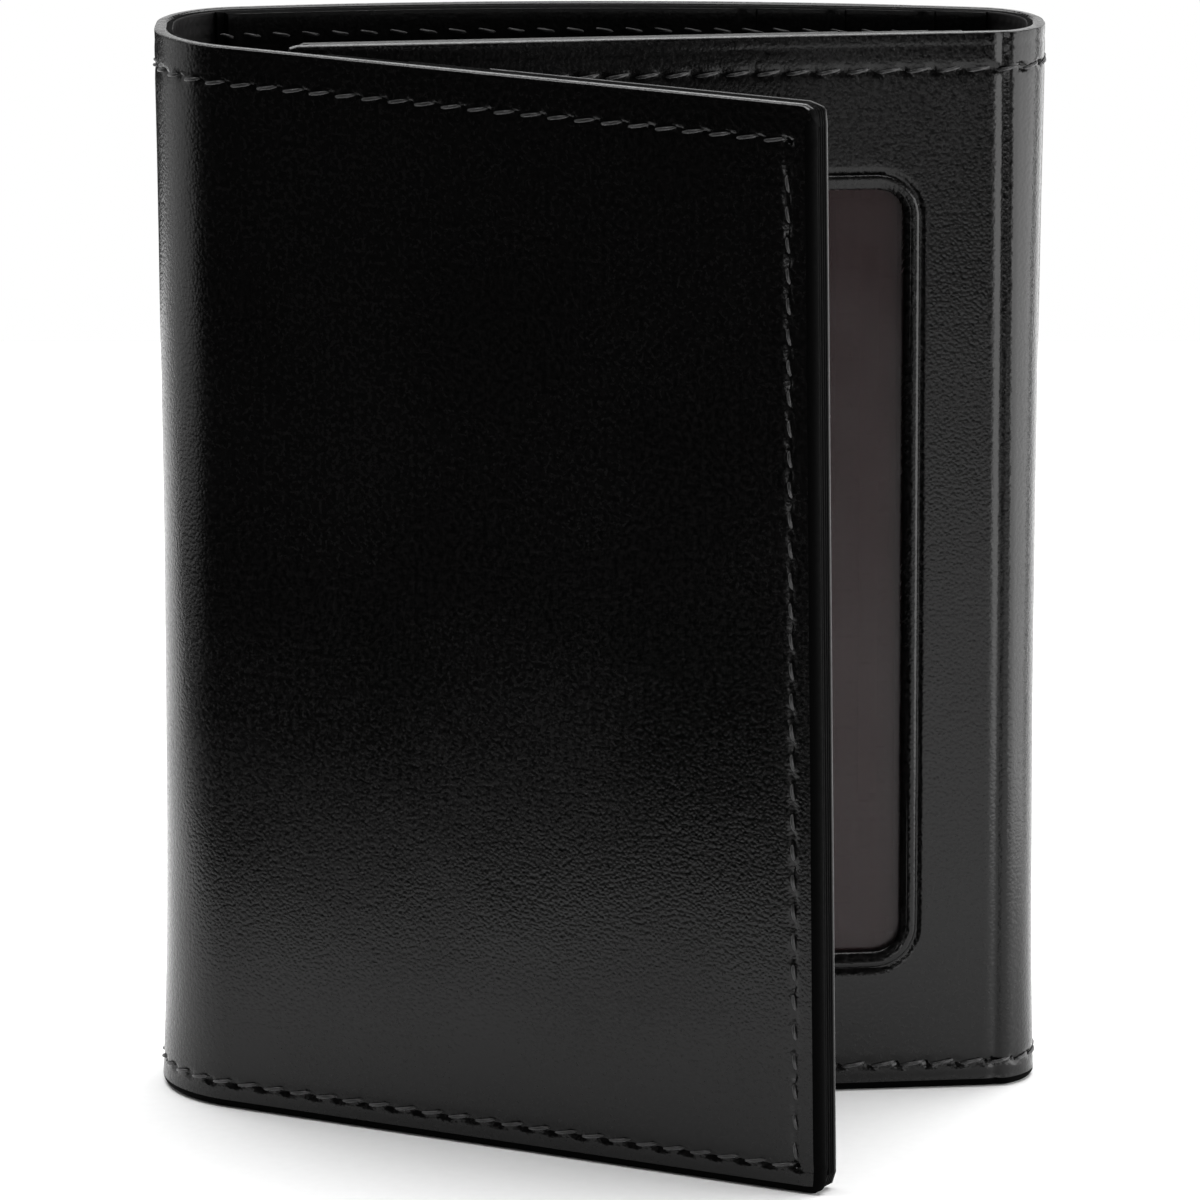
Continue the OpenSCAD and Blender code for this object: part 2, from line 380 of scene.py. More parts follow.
def waxed_thread():
    """Waxed polyester thread: two twisted plies with a soft waxy sheen, a touch lighter than the hide."""
    material, tree, shader = new_material("waxed_thread")
    where = add(tree, "ShaderNodeTexCoord").outputs["Object"]
    plies = add(tree, "ShaderNodeTexWave", {"Vector": where, "Scale": DIAGONAL_BAND / (PLY_TWIST * MM),
                                            "Distortion": 1.0}, wave_type="BANDS",
                bands_direction="DIAGONAL")
    fuzz = add(tree, "ShaderNodeTexNoise", {"Vector": where, "Scale": 1 / (THREAD_FUZZ * MM), "Detail": 2.0})
    colour = blend_colours(tree, plies.outputs["Fac"], "#121212", "#2d2c2d")
    bump_ply = add(tree, "ShaderNodeBump", {"Height": plies.outputs["Fac"], "Strength": 0.8,
                                            "Distance": 0.06 * MM})
    bump = add(tree, "ShaderNodeBump", {"Height": fuzz.outputs["Fac"], "Strength": 0.5,
                                        "Distance": 0.03 * MM, "Normal": bump_ply.outputs[0]})
    tree.links.new(colour, shader.inputs["Base Color"])
    tree.links.new(bump.outputs[0], shader.inputs["Normal"])
    shader.inputs["Roughness"].default_value = 0.42
    shader.inputs["Sheen Weight"].default_value = 0.2
    return material


def lining_cloth():
    """Woven nylon lining: a fine plain weave, nearly matt, plum-black behind the window."""
    material, tree, shader = new_material("nylon_lining")
    uv = add(tree, "ShaderNodeUVMap", uv_map="hide").outputs["UV"]
    # Threads about 1.2 mm apart, some four times as coarse as real so that the weave shows
    threads = {"Vector": uv, "Scale": UV_MM * BAND / WEAVE, "Distortion": 0.4}
    warp = add(tree, "ShaderNodeTexWave", threads, bands_direction="X")
    weft = add(tree, "ShaderNodeTexWave", threads, bands_direction="Y")
    weave = add(tree, "ShaderNodeMath", {0: warp.outputs["Fac"], 1: weft.outputs["Fac"]},
                operation="MULTIPLY")
    colour = blend_colours(tree, weave.outputs[0], "#0c0a0b", "#131011")
    bump = add(tree, "ShaderNodeBump", {"Height": weave.outputs[0], "Strength": 0.7,
                                        "Distance": 0.05 * MM})
    tree.links.new(colour, shader.inputs["Base Color"])
    tree.links.new(bump.outputs[0], shader.inputs["Normal"])
    shader.inputs["Roughness"].default_value = 0.62
    return material


def clear_film():
    """Calendered clear vinyl: a soft gloss with faint drawn streaks, greyed by what lies behind it."""
    material, tree, shader = new_material("clear_vinyl")
    uv = add(tree, "ShaderNodeUVMap", uv_map="hide").outputs["UV"]
    drawn = add(tree, "ShaderNodeMapping", {"Vector": uv, "Scale": (1.0, 0.05, 1.0)})
    streaks = add(tree, "ShaderNodeTexNoise", {"Vector": drawn.outputs[0], "Scale": UV_MM / DRAWN_STREAK,
                                               "Detail": 3.0}, noise_dimensions="2D")
    swell = add(tree, "ShaderNodeTexNoise", {"Vector": uv, "Scale": UV_MM / FILM_SWELL, "Detail": 1.0},
                noise_dimensions="2D")
    colour = blend_colours(tree, streaks.outputs["Fac"], "#211516", "#291a1b")
    rough_map = ramp(tree, streaks.outputs["Fac"], 0.3, 0.7, 0.23, 0.27)
    bump = add(tree, "ShaderNodeBump", {"Height": swell.outputs["Fac"], "Strength": 1.0,
                                        "Distance": 0.25 * MM})
    tree.links.new(colour, shader.inputs["Base Color"])
    tree.links.new(rough_map, shader.inputs["Roughness"])
    tree.links.new(bump.outputs[0], shader.inputs["Normal"])
    shader.inputs["IOR"].default_value = 1.53
    shader.inputs["Specular IOR Level"].default_value = 0.3
    shader.inputs["Alpha"].default_value = 0.85
    return material


CALF = leather("glazed_black_calf", "#020202", "#0c0b0b", 0.21, 0.4, 0.013)
POCKET_CALF = leather("satin_black_calf", "#060606", "#100f0f", 0.34, 0.4, 0.014)
# Matt black edge dye for the rims. Along the foot it is also painted shade, for the shade and contact shadow
# under the foot.
DYE_AND_PAINTED_FOOT_SHADE = dye_and_painted_foot_shade()
THREAD = waxed_thread()
CLOTH = lining_cloth()
FILM = clear_film()


# ---------------------------------------------------------------- sheets

def spaced(start, end, step, fine_at=(), fine=0.3, reach=1.0):
    """Cut lines from start to end, about step apart, and about fine apart within reach of fine_at."""
    values = [start]
    while values[-1] < end - 1e-6:
        here = values[-1]
        near = any(abs(here + fine - f) < reach for f in fine_at)
        values.append(min(end, here + (fine if near else step)))
    if len(values) > 2 and values[-1] - values[-2] < 0.4 * fine:
        values.pop(-2)
    return values


def round_corner(s, z, s_end, z_end, r):
    """Moves a point of a square corner onto a round one of radius r."""
    inward_s = math.copysign(r, s_end[1])
    inward_z = math.copysign(r, z_end[1])
    u = (s - (s_end[0] - inward_s)) / inward_s
    v = (z - (z_end[0] - inward_z)) / inward_z
    if u <= 0 or v <= 0:
        return s, z
    ru = u * math.sqrt(1 - v * v / 2)
    rv = v * math.sqrt(1 - u * u / 2)
    return s_end[0] - inward_s + ru * inward_s, z_end[0] - inward_z + rv * inward_z


def cleared(lines, ends, margin):
    """lines without those that a rounded end of this size would fold over, and one just past it."""
    middle = sum(lines) / len(lines)
    past = [end + math.copysign(1.06 * margin, middle - end) for end in ends]
    kept = [v for v in lines if v in ends or all(abs(v - end) > 1.3 * margin for end in ends)]
    return sorted(kept + past)


def cut_sheet(name, s_lines, z_lines, depth, thick, materials, press=None, round_start=0.0,
              round_end=0.0, edge_r=0.3, foot_r=0.0, butts=(), hole=None, top=0):
    """A sheet cut flat from s_lines by z_lines, thickened, with rounded rims, then bent to the plan.

    Edges at the distances in butts meet the next sheet, so they stay square and unpainted. foot_r is
    the rounder front edge along the foot and the free end, in the matt black edge material: on the
    free end it is the edge's own dye, along the foot it is painted shade, for the shade and contact
    shadow under the rounded foot.
    top is the slot of the material on the top edge: 0 as the sheet, 1 dyed."""
    bm = bmesh.new()
    if foot_r:
        z_lines = cleared(z_lines, z_lines[:1], foot_r)
        s_lines = cleared(s_lines, [s for s in (s_lines[0], s_lines[-1]) if s not in butts], foot_r)
    columns, rows = len(s_lines) - 1, len(z_lines) - 1
    bmesh.ops.create_grid(bm, x_segments=columns, y_segments=rows, size=0.5)
    z_low, z_high = z_lines[0], z_lines[-1]
    for v in bm.verts:
        s = s_lines[round((v.co.x + 0.5) * columns)]
        z = z_lines[round((v.co.y + 0.5) * rows)]
        for z_end in ((z_low, -1), (z_high, 1)):
            if round_start:
                s, z = round_corner(s, z, (s_lines[0], -1), z_end, round_start)
            if round_end:
                s, z = round_corner(s, z, (s_lines[-1], 1), z_end, round_end)
        v.co = (s, depth, z)
    if hole:
        cut_hole(bm, hole)
    grown = bmesh.ops.extrude_face_region(bm, geom=bm.faces[:], use_keep_orig=True)
    moved = [v for v in grown["geom"] if isinstance(v, bmesh.types.BMVert)]
    bmesh.ops.translate(bm, vec=(0, thick, 0), verts=moved)
    bmesh.ops.recalc_face_normals(bm, faces=bm.faces[:])
    rim = set()
    for f in bm.faces:
        middle = f.calc_center_median()
        if abs(f.normal.y) < 0.5 and not any(abs(middle.x - b) < 1e-4 for b in butts):
            f.material_index = top if f.normal.z > 0.7 else 1
            rim.add(f)
    edges = [e for e in bm.edges if len(e.link_faces) == 2
             and (e.link_faces[0] in rim) != (e.link_faces[1] in rim)
             and not all(any(abs(v.co.x - b) < 1e-4 for b in butts) for v in e.verts)]
    # The round band along the foot and up the free ends takes the matt black edge material. On the free ends
    # that is the edge's own dye. Along the foot it is painted shade, standing in for the shade and contact
    # shadow under the rounded foot.
    turned = []
    if foot_r:
        ends = [s for s in (s_lines[0], s_lines[-1]) if s not in butts]
        turned = [e for e in edges if all(abs(v.co.y - depth) < 1e-6 for v in e.verts)
                  and near_foot(e, z_low, z_high, ends)]
        bmesh.ops.bevel(bm, geom=turned, offset=foot_r, offset_type="OFFSET", segments=4, profile=0.5,
                        affect="EDGES", clamp_overlap=False, material=1)
    edges = [e for e in edges if e.is_valid and e not in turned]
    bmesh.ops.bevel(bm, geom=edges, offset=edge_r, offset_type="OFFSET", segments=2, profile=0.5,
                    affect="EDGES", clamp_overlap=True, material=-1)
    bm.normal_update()
    for f in bm.faces:
        across = f.calc_center_median().x
        for end in (s_lines[0], s_lines[-1]):
            if end not in butts and abs(across - end) < edge_r and abs(f.normal.x) > 0.3:
                f.material_index = 1
    finish_sheet(bm, depth, thick, press)
    return to_object(name, bm, materials)


def near_foot(edge, z_low, z_high, ends):
    """Whether an edge runs along the sheet's foot, or up one of its free ends short of the top."""
    middle = (edge.verts[0].co + edge.verts[1].co) / 2
    if middle.z > z_high - CORNER_R:
        return False
    return middle.z < z_low + CORNER_R or any(abs(middle.x - s) < 1e-4 for s in ends)


def cut_hole(bm, outline):
    """Cuts out the faces where outline is negative, and draws the hole's edge onto the outline."""
    inside = [f for f in bm.faces if outline(*f.calc_center_median().xz) < 0]
    bmesh.ops.delete(bm, geom=inside, context="FACES")
    loose = [v for v in bm.verts if not v.link_faces]
    bmesh.ops.delete(bm, geom=loose, context="VERTS")
    for v in bm.verts:
        off = outline(v.co.x, v.co.z)
        if v.is_boundary and abs(off) < 1.0:
            slope_s = outline(v.co.x + 0.05, v.co.z) - off
            slope_z = outline(v.co.x, v.co.z + 0.05) - off
            slope = math.hypot(slope_s, slope_z)
            v.co.x -= off * slope_s / slope
            v.co.z -= off * slope_z / slope


def finish_sheet(bm, depth, thick, press):
    """Writes the hide's own UV map, presses the outer face and bends the sheet to the plan line."""
    uv = bm.loops.layers.uv.new("hide")
    for f in bm.faces:
        for loop in f.loops:
            s, n, z = loop.vert.co
            loop[uv].uv = (s / UV_MM, (z + 0.7 * n) / UV_MM)
    for v in bm.verts:
        s, n, z = v.co
        if press:
            share = 1 - min(1.0, max(0.0, (n - depth) / thick))
            n -= share * press(s, z)
        v.co = place(s, n, z)
    bmesh.ops.reverse_faces(bm, faces=bm.faces[:])


def to_object(name, bm, materials, sharp=0.9):
    for f in bm.faces:
        f.smooth = True
    for e in bm.edges:
        e.smooth = len(e.link_faces) != 2 or e.calc_face_angle(0.0) < sharp
    mesh = bpy.data.meshes.new(name)
    bm.to_mesh(mesh)
    bm.free()
    for material in materials:
        mesh.materials.append(material)
    made = bpy.data.objects.new(name, mesh)
    bpy.context.scene.collection.objects.link(made)
    return made


# ---------------------------------------------------------------- what is pressed into the hide

def dip(distance, width):
    return math.exp(-(distance / width) ** 2)


Z_ROWS = (ROW_BOTTOM, HEIGHT - ROW_TOP)
S_EDGE_ROWS = (ROW_EDGE, S_END - ROW_EDGE)


def row_press(along, across):
    """The shallow channel that a row of stitches pulls into the leather, deepest at its holes."""
    if abs(across) > 1.4:
        return 0.0
    to_hole = ((along / PITCH + 0.5) % 1.0 - 0.5) * PITCH
    return -0.09 * dip(across, 0.55) - 0.42 * dip(across - 0.35 * to_hole, 0.27) * dip(to_hole, 0.5)


def hide_press(s, z):
    """Height of the outer face above the plain hide."""
    height = 0.0
    for z_row in Z_ROWS:
        height += row_press(s - ROW_EDGE, z - z_row)
    for s_row in S_EDGE_ROWS:
        if Z_ROWS[0] < z < Z_ROWS[1]:
            height += row_press(z - Z_ROWS[0], s - s_row)
    # Creased line that runs just inside every edge
    to_edge = min(z, HEIGHT - z, max(s, 0), max(S_END - s, 0))
    height -= 0.07 * dip(to_edge - 1.3, 0.22)
    # Fold lines beside the inner flap
    height -= 0.3 * dip(s - S_CREASE - 0.9, 0.45)
    height += 0.08 * dip(s - S_CREASE + 0.5, 0.6)
    height += 0.05 * dip(s - S_CREASE - 1.5, 0.4)
    # Slow swell of a hide that has been folded and handled
    height += 0.10 * noise.noise(Vector((s / 26.0, z / 34.0, 3.1)))
    height += 0.02 * noise.noise(Vector((s / 8.0, z / 11.0, 7.7)))
    return height


def window_distance(s, z):
    """Distance outside the clear window's outline, negative inside it."""
    along = s - S_CREASE
    half_w, half_h = WINDOW_W / 2 - WINDOW_R, WINDOW_H / 2 - WINDOW_R
    dx = abs(along - WINDOW_START - WINDOW_W / 2) - half_w
    dz = abs(z - WINDOW_Z - WINDOW_H / 2) - half_h
    outside = math.hypot(max(dx, 0.0), max(dz, 0.0))
    return outside + min(max(dx, dz), 0.0) - WINDOW_R


def inner_press(s, z):
    height = hide_press(s, z)
    if window_distance(s, z) < 6:
        height -= 0.3 * dip(window_distance(s, z) - RIM_W, 0.32)
    return height


# ---------------------------------------------------------------- outer leather

WINDOW_ROWS = (WINDOW_Z - RIM_W, WINDOW_Z + WINDOW_H + RIM_W)
WINDOW_COLUMNS = (S_CREASE + WINDOW_START - RIM_W, S_CREASE + WINDOW_START + WINDOW_W + RIM_W)
Z_LINES = spaced(0.0, HEIGHT, 0.8, (*Z_ROWS, *WINDOW_ROWS), 0.3, 1.0)
WINDOW_Z_LINES = spaced(0.0, HEIGHT, 0.8, (*Z_ROWS, WINDOW_ROWS[0] + 2.0, WINDOW_ROWS[1] - 2.0), 0.3, 2.9)
HIDE_R = 0.28
# Height of the matt black band along the foot and the free ends. Along the foot it is painted shade, as tall
# as the shaded rounding and contact shadow under the foot.
FOOT_R = 0.85
HOLE_MARGIN = 0.6

outer_leather = cut_sheet(
    "outer_flap_leather", spaced(0.0, S_LEFT_MID, 0.55, (ROW_EDGE,), 0.3, 0.9), Z_LINES, 0.0, SHELL,
    (CALF, DYE_AND_PAINTED_FOOT_SHADE), hide_press, round_start=CORNER_R, edge_r=HIDE_R, foot_r=FOOT_R,
    butts=(S_LEFT_MID,))
left_leather = cut_sheet(
    "left_fold_leather", spaced(S_LEFT_MID, S_BACK_MID, 0.55), Z_LINES, 0.0, SHELL, (CALF, DYE_AND_PAINTED_FOOT_SHADE),
    hide_press, edge_r=HIDE_R, foot_r=FOOT_R, butts=(S_LEFT_MID, S_BACK_MID))
right_leather = cut_sheet(
    "right_fold_leather", spaced(S_BACK_MID, S_RIGHT_MID, 0.55), Z_LINES, 0.0, SHELL, (CALF, DYE_AND_PAINTED_FOOT_SHADE),
    hide_press, edge_r=HIDE_R, foot_r=FOOT_R, butts=(S_BACK_MID, S_RIGHT_MID))
inner_leather = cut_sheet(
    "inner_flap_leather",
    spaced(S_RIGHT_MID, S_END + INNER_SPARE, 0.55,
           (S_CREASE, WINDOW_COLUMNS[0], WINDOW_COLUMNS[0] + 2.6, WINDOW_COLUMNS[1] - 2.6,
            WINDOW_COLUMNS[1], S_END - ROW_EDGE), 0.27, 1.5),
    WINDOW_Z_LINES, 0.0, SHELL, (CALF, DYE_AND_PAINTED_FOOT_SHADE), inner_press, round_end=CORNER_R / 2, edge_r=HIDE_R,
    foot_r=FOOT_R,
    butts=(S_RIGHT_MID,), hole=lambda s, z: window_distance(s, z) - HOLE_MARGIN)

# Each sheet holds one fold. For each fold: the body before it, the body after it, and where along the plan
# line the fold starts and ends.
FOLDS = {
    "left_front": ("outer_flap", "left_spine", S_LEFT_FRONT - 1.0, S_LEFT_MID - 0.3),
    "left_rear": ("left_spine", "back_panel", S_LEFT_MID + 0.3, S_LEFT_REAR + 1.5),
    "right_rear": ("back_panel", "right_spine", S_RIGHT_REAR - 1.0, S_RIGHT_MID - 0.3),
    "right_front": ("right_spine", "inner_flap", S_CREASE - 3.2, S_CREASE + 0.8),
}


def bend(piece, fold):
    a, b, s_from, s_to = FOLDS[fold]
    middle = HEIGHT / 2
    place(s_from, SHELL / 2, middle)
    place(s_to, SHELL / 2, middle)
    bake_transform(piece)


bend(outer_leather, "left_front")
bend(left_leather, "left_rear")
bend(right_leather, "right_rear")
bend(inner_leather, "right_front")
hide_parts("outer_flap_shell")
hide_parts("left_spine_shell")
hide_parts("back_shell", "right_spine_shell")
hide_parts("inner_flap_shell")


# ---------------------------------------------------------------- lining

def on_outer_flap(u):
    """Plan distance of a point u from the outer flap's crease."""
    return OUTER_L - u


def on_back(x):
    return S_BACK_MID + BOW_R * math.asin(x / BOW_R)


def on_inner_flap(u):
    return S_CREASE + u


LINING_INSET = 0.08
LINING_Z = spaced(LINING_INSET, HEIGHT - LINING_INSET, 2.5)


def line_sheet(name, start, end, fold, butts, node, round_start=0.0):
    made = cut_sheet(name, spaced(start, end, 0.9), LINING_Z, SHELL, LINING, (CLOTH, DYE_AND_PAINTED_FOOT_SHADE),
                     round_start=round_start, edge_r=0.18, butts=butts, top=1)
    bend(made, fold)
    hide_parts(node)
    return made


LINING_END = on_inner_flap(LINING_TO)
line_sheet("outer_flap_lining_cloth", 0.1, S_LEFT_MID, "left_front", (S_LEFT_MID,), "outer_flap_lining",
           CORNER_R)
line_sheet("left_fold_lining_cloth", S_LEFT_MID, S_BACK_MID, "left_rear", (S_LEFT_MID, S_BACK_MID),
           "left_spine_lining")
line_sheet("right_fold_lining_cloth", S_BACK_MID, S_RIGHT_MID, "right_rear", (S_BACK_MID, S_RIGHT_MID),
           "back_lining")
line_sheet("inner_fold_lining_cloth", S_RIGHT_MID, LINING_END, "right_front", (S_RIGHT_MID,),
           "right_spine_lining")


# ---------------------------------------------------------------- pockets

POCKET_INSET = 0.12
EDGE_INSET = 0.12
POCKET_Z = spaced(POCKET_INSET, HEIGHT - POCKET_INSET, 1.6, (), 0.4, 1.0)
LEAF_LIP = 0.08


def pocket_sheet(name, start, end, depth, thick, body, node, lip_at=None, material=POCKET_CALF,
                 corner_end=0, rim=DYE_AND_PAINTED_FOOT_SHADE):
    """A flat pocket layer. lip_at is the opening edge, where the leather is turned and creased.

    corner_end is -1 or 1 where the sheet's start or end has the flap's round corners."""

    def press(s, _z):
        # The sheet's outer side is thinned towards the mouth, so that each pocket stands a little open
        return 0.0 if lip_at is None else -LEAF_LIP * dip(s - lip_at, 1.6)

    fine = () if lip_at is None else (lip_at,)
    lines = spaced(start, end, 1.8, fine, 0.35, 3.0)
    made = cut_sheet(name, lines, POCKET_Z, depth, thick, (material, rim), press,
                     round_start=CORNER_R if corner_end == -1 else 0.0,
                     round_end=CORNER_R if corner_end == 1 else 0.0, edge_r=0.14,
                     top=0 if body == "inner_flap" else 1)
    if lip_at is not None:
        crease_mouth(made, lip_at, depth + thick)
    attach(made, body)
    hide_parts(node)
    return made


def crease_mouth(piece, lip_at, depth):
    """Presses the creasing iron's line beside the pocket's mouth, on the face that shows."""
    mesh = piece.data
    layer = mesh.uv_layers["hide"].data
    for loop in mesh.loops:
        s = layer[loop.index].uv.x * UV_MM
        off = abs(s - lip_at)
        if 0.9 < off < 2.1:
            vertex = mesh.vertices[loop.vertex_index]
            z = vertex.co.z / MM
            face_point = place(s, depth, z)
            if (vertex.co - face_point).length < 0.03 * MM:
                vertex.co = place(s, depth - 0.12 * dip(off - 1.5, 0.3), z)


BASE_N = SHELL + LINING
LEAF_N = BASE_N + BASE
OUTER_FAR = on_outer_flap(OUTER_L - EDGE_INSET)
OUTER_NEAR = on_outer_flap(OUTER_POCKET_FROM)
OUTER_MOUTHS = [on_outer_flap(OUTER_MOUTH + k * SLOT_STEP) for k in range(3)]
BACK_LEFT = on_back(-BACK_POCKET_HALF)
BACK_RIGHT = on_back(BACK_POCKET_HALF)
BACK_SLOTS_LEFT = on_back(BACK_SLOT_FROM)
BACK_MOUTHS = [on_back(BACK_MOUTH - k * SLOT_STEP) for k in range(3)]
INNER_NEAR = on_inner_flap(INNER_POCKET_FROM)
INNER_MOUTHS = [on_inner_flap(INNER_MOUTH + k * SLOT_STEP) for k in range(2)]

pocket_sheet("outer_flap_pocket_back", OUTER_FAR, OUTER_NEAR, BASE_N, BASE, "outer_flap",
             "outer_pocket_base", corner_end=-1)
for index, mouth in enumerate(OUTER_MOUTHS):
    # The innermost slot's free edge is left undyed
    pocket_sheet(f"outer_flap_pocket_{index + 1}", OUTER_FAR, mouth, LEAF_N + index * LEAF, LEAF,
                 "outer_flap", f"outer_card_slot_{index + 1}", lip_at=mouth, corner_end=-1,
                 rim=POCKET_CALF if mouth == OUTER_MOUTHS[-1] else DYE_AND_PAINTED_FOOT_SHADE)

pocket_sheet("back_pocket_back", BACK_LEFT, BACK_RIGHT, BASE_N, BASE, "back_panel", "back_pocket_base")
for index, mouth in enumerate(BACK_MOUTHS):
    pocket_sheet(f"back_pocket_{index + 1}", BACK_SLOTS_LEFT, mouth, LEAF_N + index * LEAF, LEAF,
                 "back_panel", f"back_card_slot_{index + 1}", lip_at=mouth)

BACKING_N = SHELL + FILM_T
INNER_BASE_N = BACKING_N + BACKING_T
INNER_LEAF_N = INNER_BASE_N + BASE
INNER_FAR = on_inner_flap(INNER_L - EDGE_INSET)
pocket_sheet("id_window_film", on_inner_flap(FILM_FROM), on_inner_flap(FILM_TO), SHELL, FILM_T,
             "inner_flap", "id_window", material=FILM)
pocket_sheet("id_pocket_backing_cloth", INNER_NEAR, INNER_FAR, BACKING_N, BACKING_T, "inner_flap",
             "id_pocket_backing", material=CLOTH, corner_end=1)
pocket_sheet("inner_flap_pocket_back", INNER_NEAR, INNER_FAR, INNER_BASE_N, BASE, "inner_flap",
             "inner_pocket_base", corner_end=1)
for index, mouth in enumerate(INNER_MOUTHS):
    pocket_sheet(f"inner_flap_pocket_{index + 1}", mouth, INNER_FAR, INNER_LEAF_N + index * LEAF, LEAF,
                 "inner_flap", f"inner_card_slot_{index + 1}", lip_at=mouth, corner_end=1)


# ---------------------------------------------------------------- window rim

# The rim's section as distance outside the window and depth from the outer face
RIM_SECTION = ((1.62, 0.5), (1.6, 0.14), (1.5, -0.04), (1.34, -0.14), (1.14, -0.16), (0.92, -0.12),
               (0.7, -0.04), (0.48, 0.05), (0.28, 0.13), (0.12, 0.24), (0.02, 0.42), (0.0, 0.7),
               (0.0, 1.19), (0.8, 1.19), (1.5, 0.9))


def window_outline(distance, grow):
    """Point on the window's outline, grown outwards, at a distance along it."""
    half_w, half_h = WINDOW_W / 2 - WINDOW_R, WINDOW_H / 2 - WINDOW_R
    corner = math.pi / 2 * WINDOW_R
    left = distance
    for side, (cx, cz) in enumerate(((half_w, half_h), (-half_w, half_h), (-half_w, -half_h),
                                     (half_w, -half_h))):
        length = 2 * (half_h, half_w)[side % 2]
        facing = Vector((math.cos(side * math.pi / 2), math.sin(side * math.pi / 2)))
        if left <= length:
            along = Vector((-facing.y, facing.x))
            point = Vector((cx, cz)) + (left - length) * along
            return point + (WINDOW_R + grow) * facing
        left -= length
        if left <= corner:
            facing.rotate(Matrix.Rotation(left / WINDOW_R, 2))
            return Vector((cx, cz)) + (WINDOW_R + grow) * facing
        left -= corner
    return window_outline(0.0, grow)


def window_rim():
    """The welt turned round the window: a bead outside, then a flat lip down to the film."""
    around = 2 * (WINDOW_W + WINDOW_H - 4 * WINDOW_R) + 2 * math.pi * WINDOW_R
    stations, sections = 420, len(RIM_SECTION)
    bm = bmesh.new()
    bmesh.ops.create_grid(bm, x_segments=stations, y_segments=sections, size=0.5)
    middle = Vector((on_inner_flap(WINDOW_START + WINDOW_W / 2), WINDOW_Z + WINDOW_H / 2))
    for v in bm.verts:
        station = round((v.co.x + 0.5) * stations) % stations
        grow, n = RIM_SECTION[round((v.co.y + 0.5) * sections) % sections]
        s, z = middle + window_outline(station / stations * around, grow)
        v.co = (s, n, z)
    bmesh.ops.remove_doubles(bm, verts=bm.verts[:], dist=1e-4)
    bmesh.ops.recalc_face_normals(bm, faces=bm.faces[:])
    finish_sheet(bm, 0.0, SHELL, None)
    bmesh.ops.recalc_face_normals(bm, faces=bm.faces[:])
    made = to_object("window_rim", bm, (CALF,), sharp=1.2)
    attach(made, "inner_flap")


window_rim()


# ---------------------------------------------------------------- stitching

TILT = math.radians(-10)
THREAD_HALF = 0.18
DIVE = 0.4


def one_stitch(bm, s, z, n, outwards, upright):
    """One stitch: a fat little strand, tilted across its row, with ends that dive into their holes."""
    made = bmesh.ops.create_uvsphere(bm, u_segments=8, v_segments=6, radius=1.0)["verts"]
    turn = math.pi / 2 + TILT if upright else TILT
    along = Vector((math.cos(turn), math.sin(turn)))
    across = Vector((-along.y, along.x))
    for v in made:
        length = math.copysign(abs(v.co.z) ** 0.8, v.co.z)
        body = max(0.0, 1 - abs(v.co.z) ** 3.0) ** 0.5
        ring = Vector((v.co.x, v.co.y))
        if ring.length > 1e-6:
            ring = ring.normalized() * body
        offset = length * (UPRIGHT_L if upright else STITCH_L) / 2 * along
        offset += outwards * ring.x * THREAD_HALF * across
        rise = ring.y * THREAD_HALF * 0.9 - DIVE * abs(length) ** 3 + 0.06
        v.co = (s + offset.x, n - outwards * rise, z + offset.y)


def row_spots(start, end):
    """Middles of the stitches whose middles lie from start up to end, spaced from the free edge row."""
    first = math.ceil((start - ROW_EDGE) / PITCH - 0.5)
    spots = []
    place_at = ROW_EDGE + (first + 0.5) * PITCH
    while place_at < end:
        spots.append(place_at)
        place_at += PITCH
    return spots


Z_SPOTS = [Z_ROWS[0] + (k + 0.5) * PITCH for k in range(int((Z_ROWS[1] - Z_ROWS[0]) / PITCH))]


def pocket_depth(s):
    """Depth of the inside face at the plan distance s."""
    if s < OUTER_NEAR:
        return LEAF_N + LEAF * sum(s < mouth for mouth in OUTER_MOUTHS)
    if BACK_LEFT < s < BACK_SLOTS_LEFT:
        return LEAF_N
    if BACK_LEFT < s < BACK_RIGHT:
        return LEAF_N + LEAF * sum(s < mouth for mouth in BACK_MOUTHS)
    if s > INNER_NEAR:
        return INNER_LEAF_N + LEAF * sum(s > mouth for mouth in INNER_MOUTHS)
    return SHELL + LINING


def inner_row(s, z):
    """Height of a row on the inside: the back's pockets have a row of their own, nearer their top edge."""
    on_the_back = BACK_LEFT < s < BACK_RIGHT
    return HEIGHT - BACK_ROW_TOP if on_the_back and z > HEIGHT / 2 else z


def stitch_rows(name, start, end, fold, node, edge_row=None):
    """The rows along the top and bottom from start to end, and down a free edge, on both faces."""
    bm = bmesh.new()
    for s in row_spots(max(start, ROW_EDGE), min(end, S_END - ROW_EDGE)):
        for z in Z_ROWS:
            one_stitch(bm, s, z, 0.0, 1, False)
            one_stitch(bm, s, inner_row(s, z), pocket_depth(s), -1, False)
    for z in Z_SPOTS if edge_row is not None else ():
        one_stitch(bm, edge_row, z, 0.0, 1, True)
        one_stitch(bm, edge_row, z, pocket_depth(edge_row), -1, True)
    for v in bm.verts:
        v.co = place(*v.co)
    bmesh.ops.reverse_faces(bm, faces=bm.faces[:])
    made = to_object(name, bm, (THREAD,), sharp=2.0)
    bend(made, fold)
    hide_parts(*node)


stitch_rows("outer_flap_thread", 0.0, S_LEFT_MID, "left_front", ("outer_flap_stitches",), ROW_EDGE)
stitch_rows("left_fold_thread", S_LEFT_MID, S_BACK_MID, "left_rear", ("left_spine_stitches",))
stitch_rows("right_fold_thread", S_BACK_MID, S_RIGHT_MID, "right_rear",
            ("back_stitches", "right_spine_stitches"))
stitch_rows("inner_flap_thread", S_RIGHT_MID, S_END, "right_front", ("inner_flap_stitches",),
            S_END - ROW_EDGE)


# ---------------------------------------------------------------- floor, light and camera

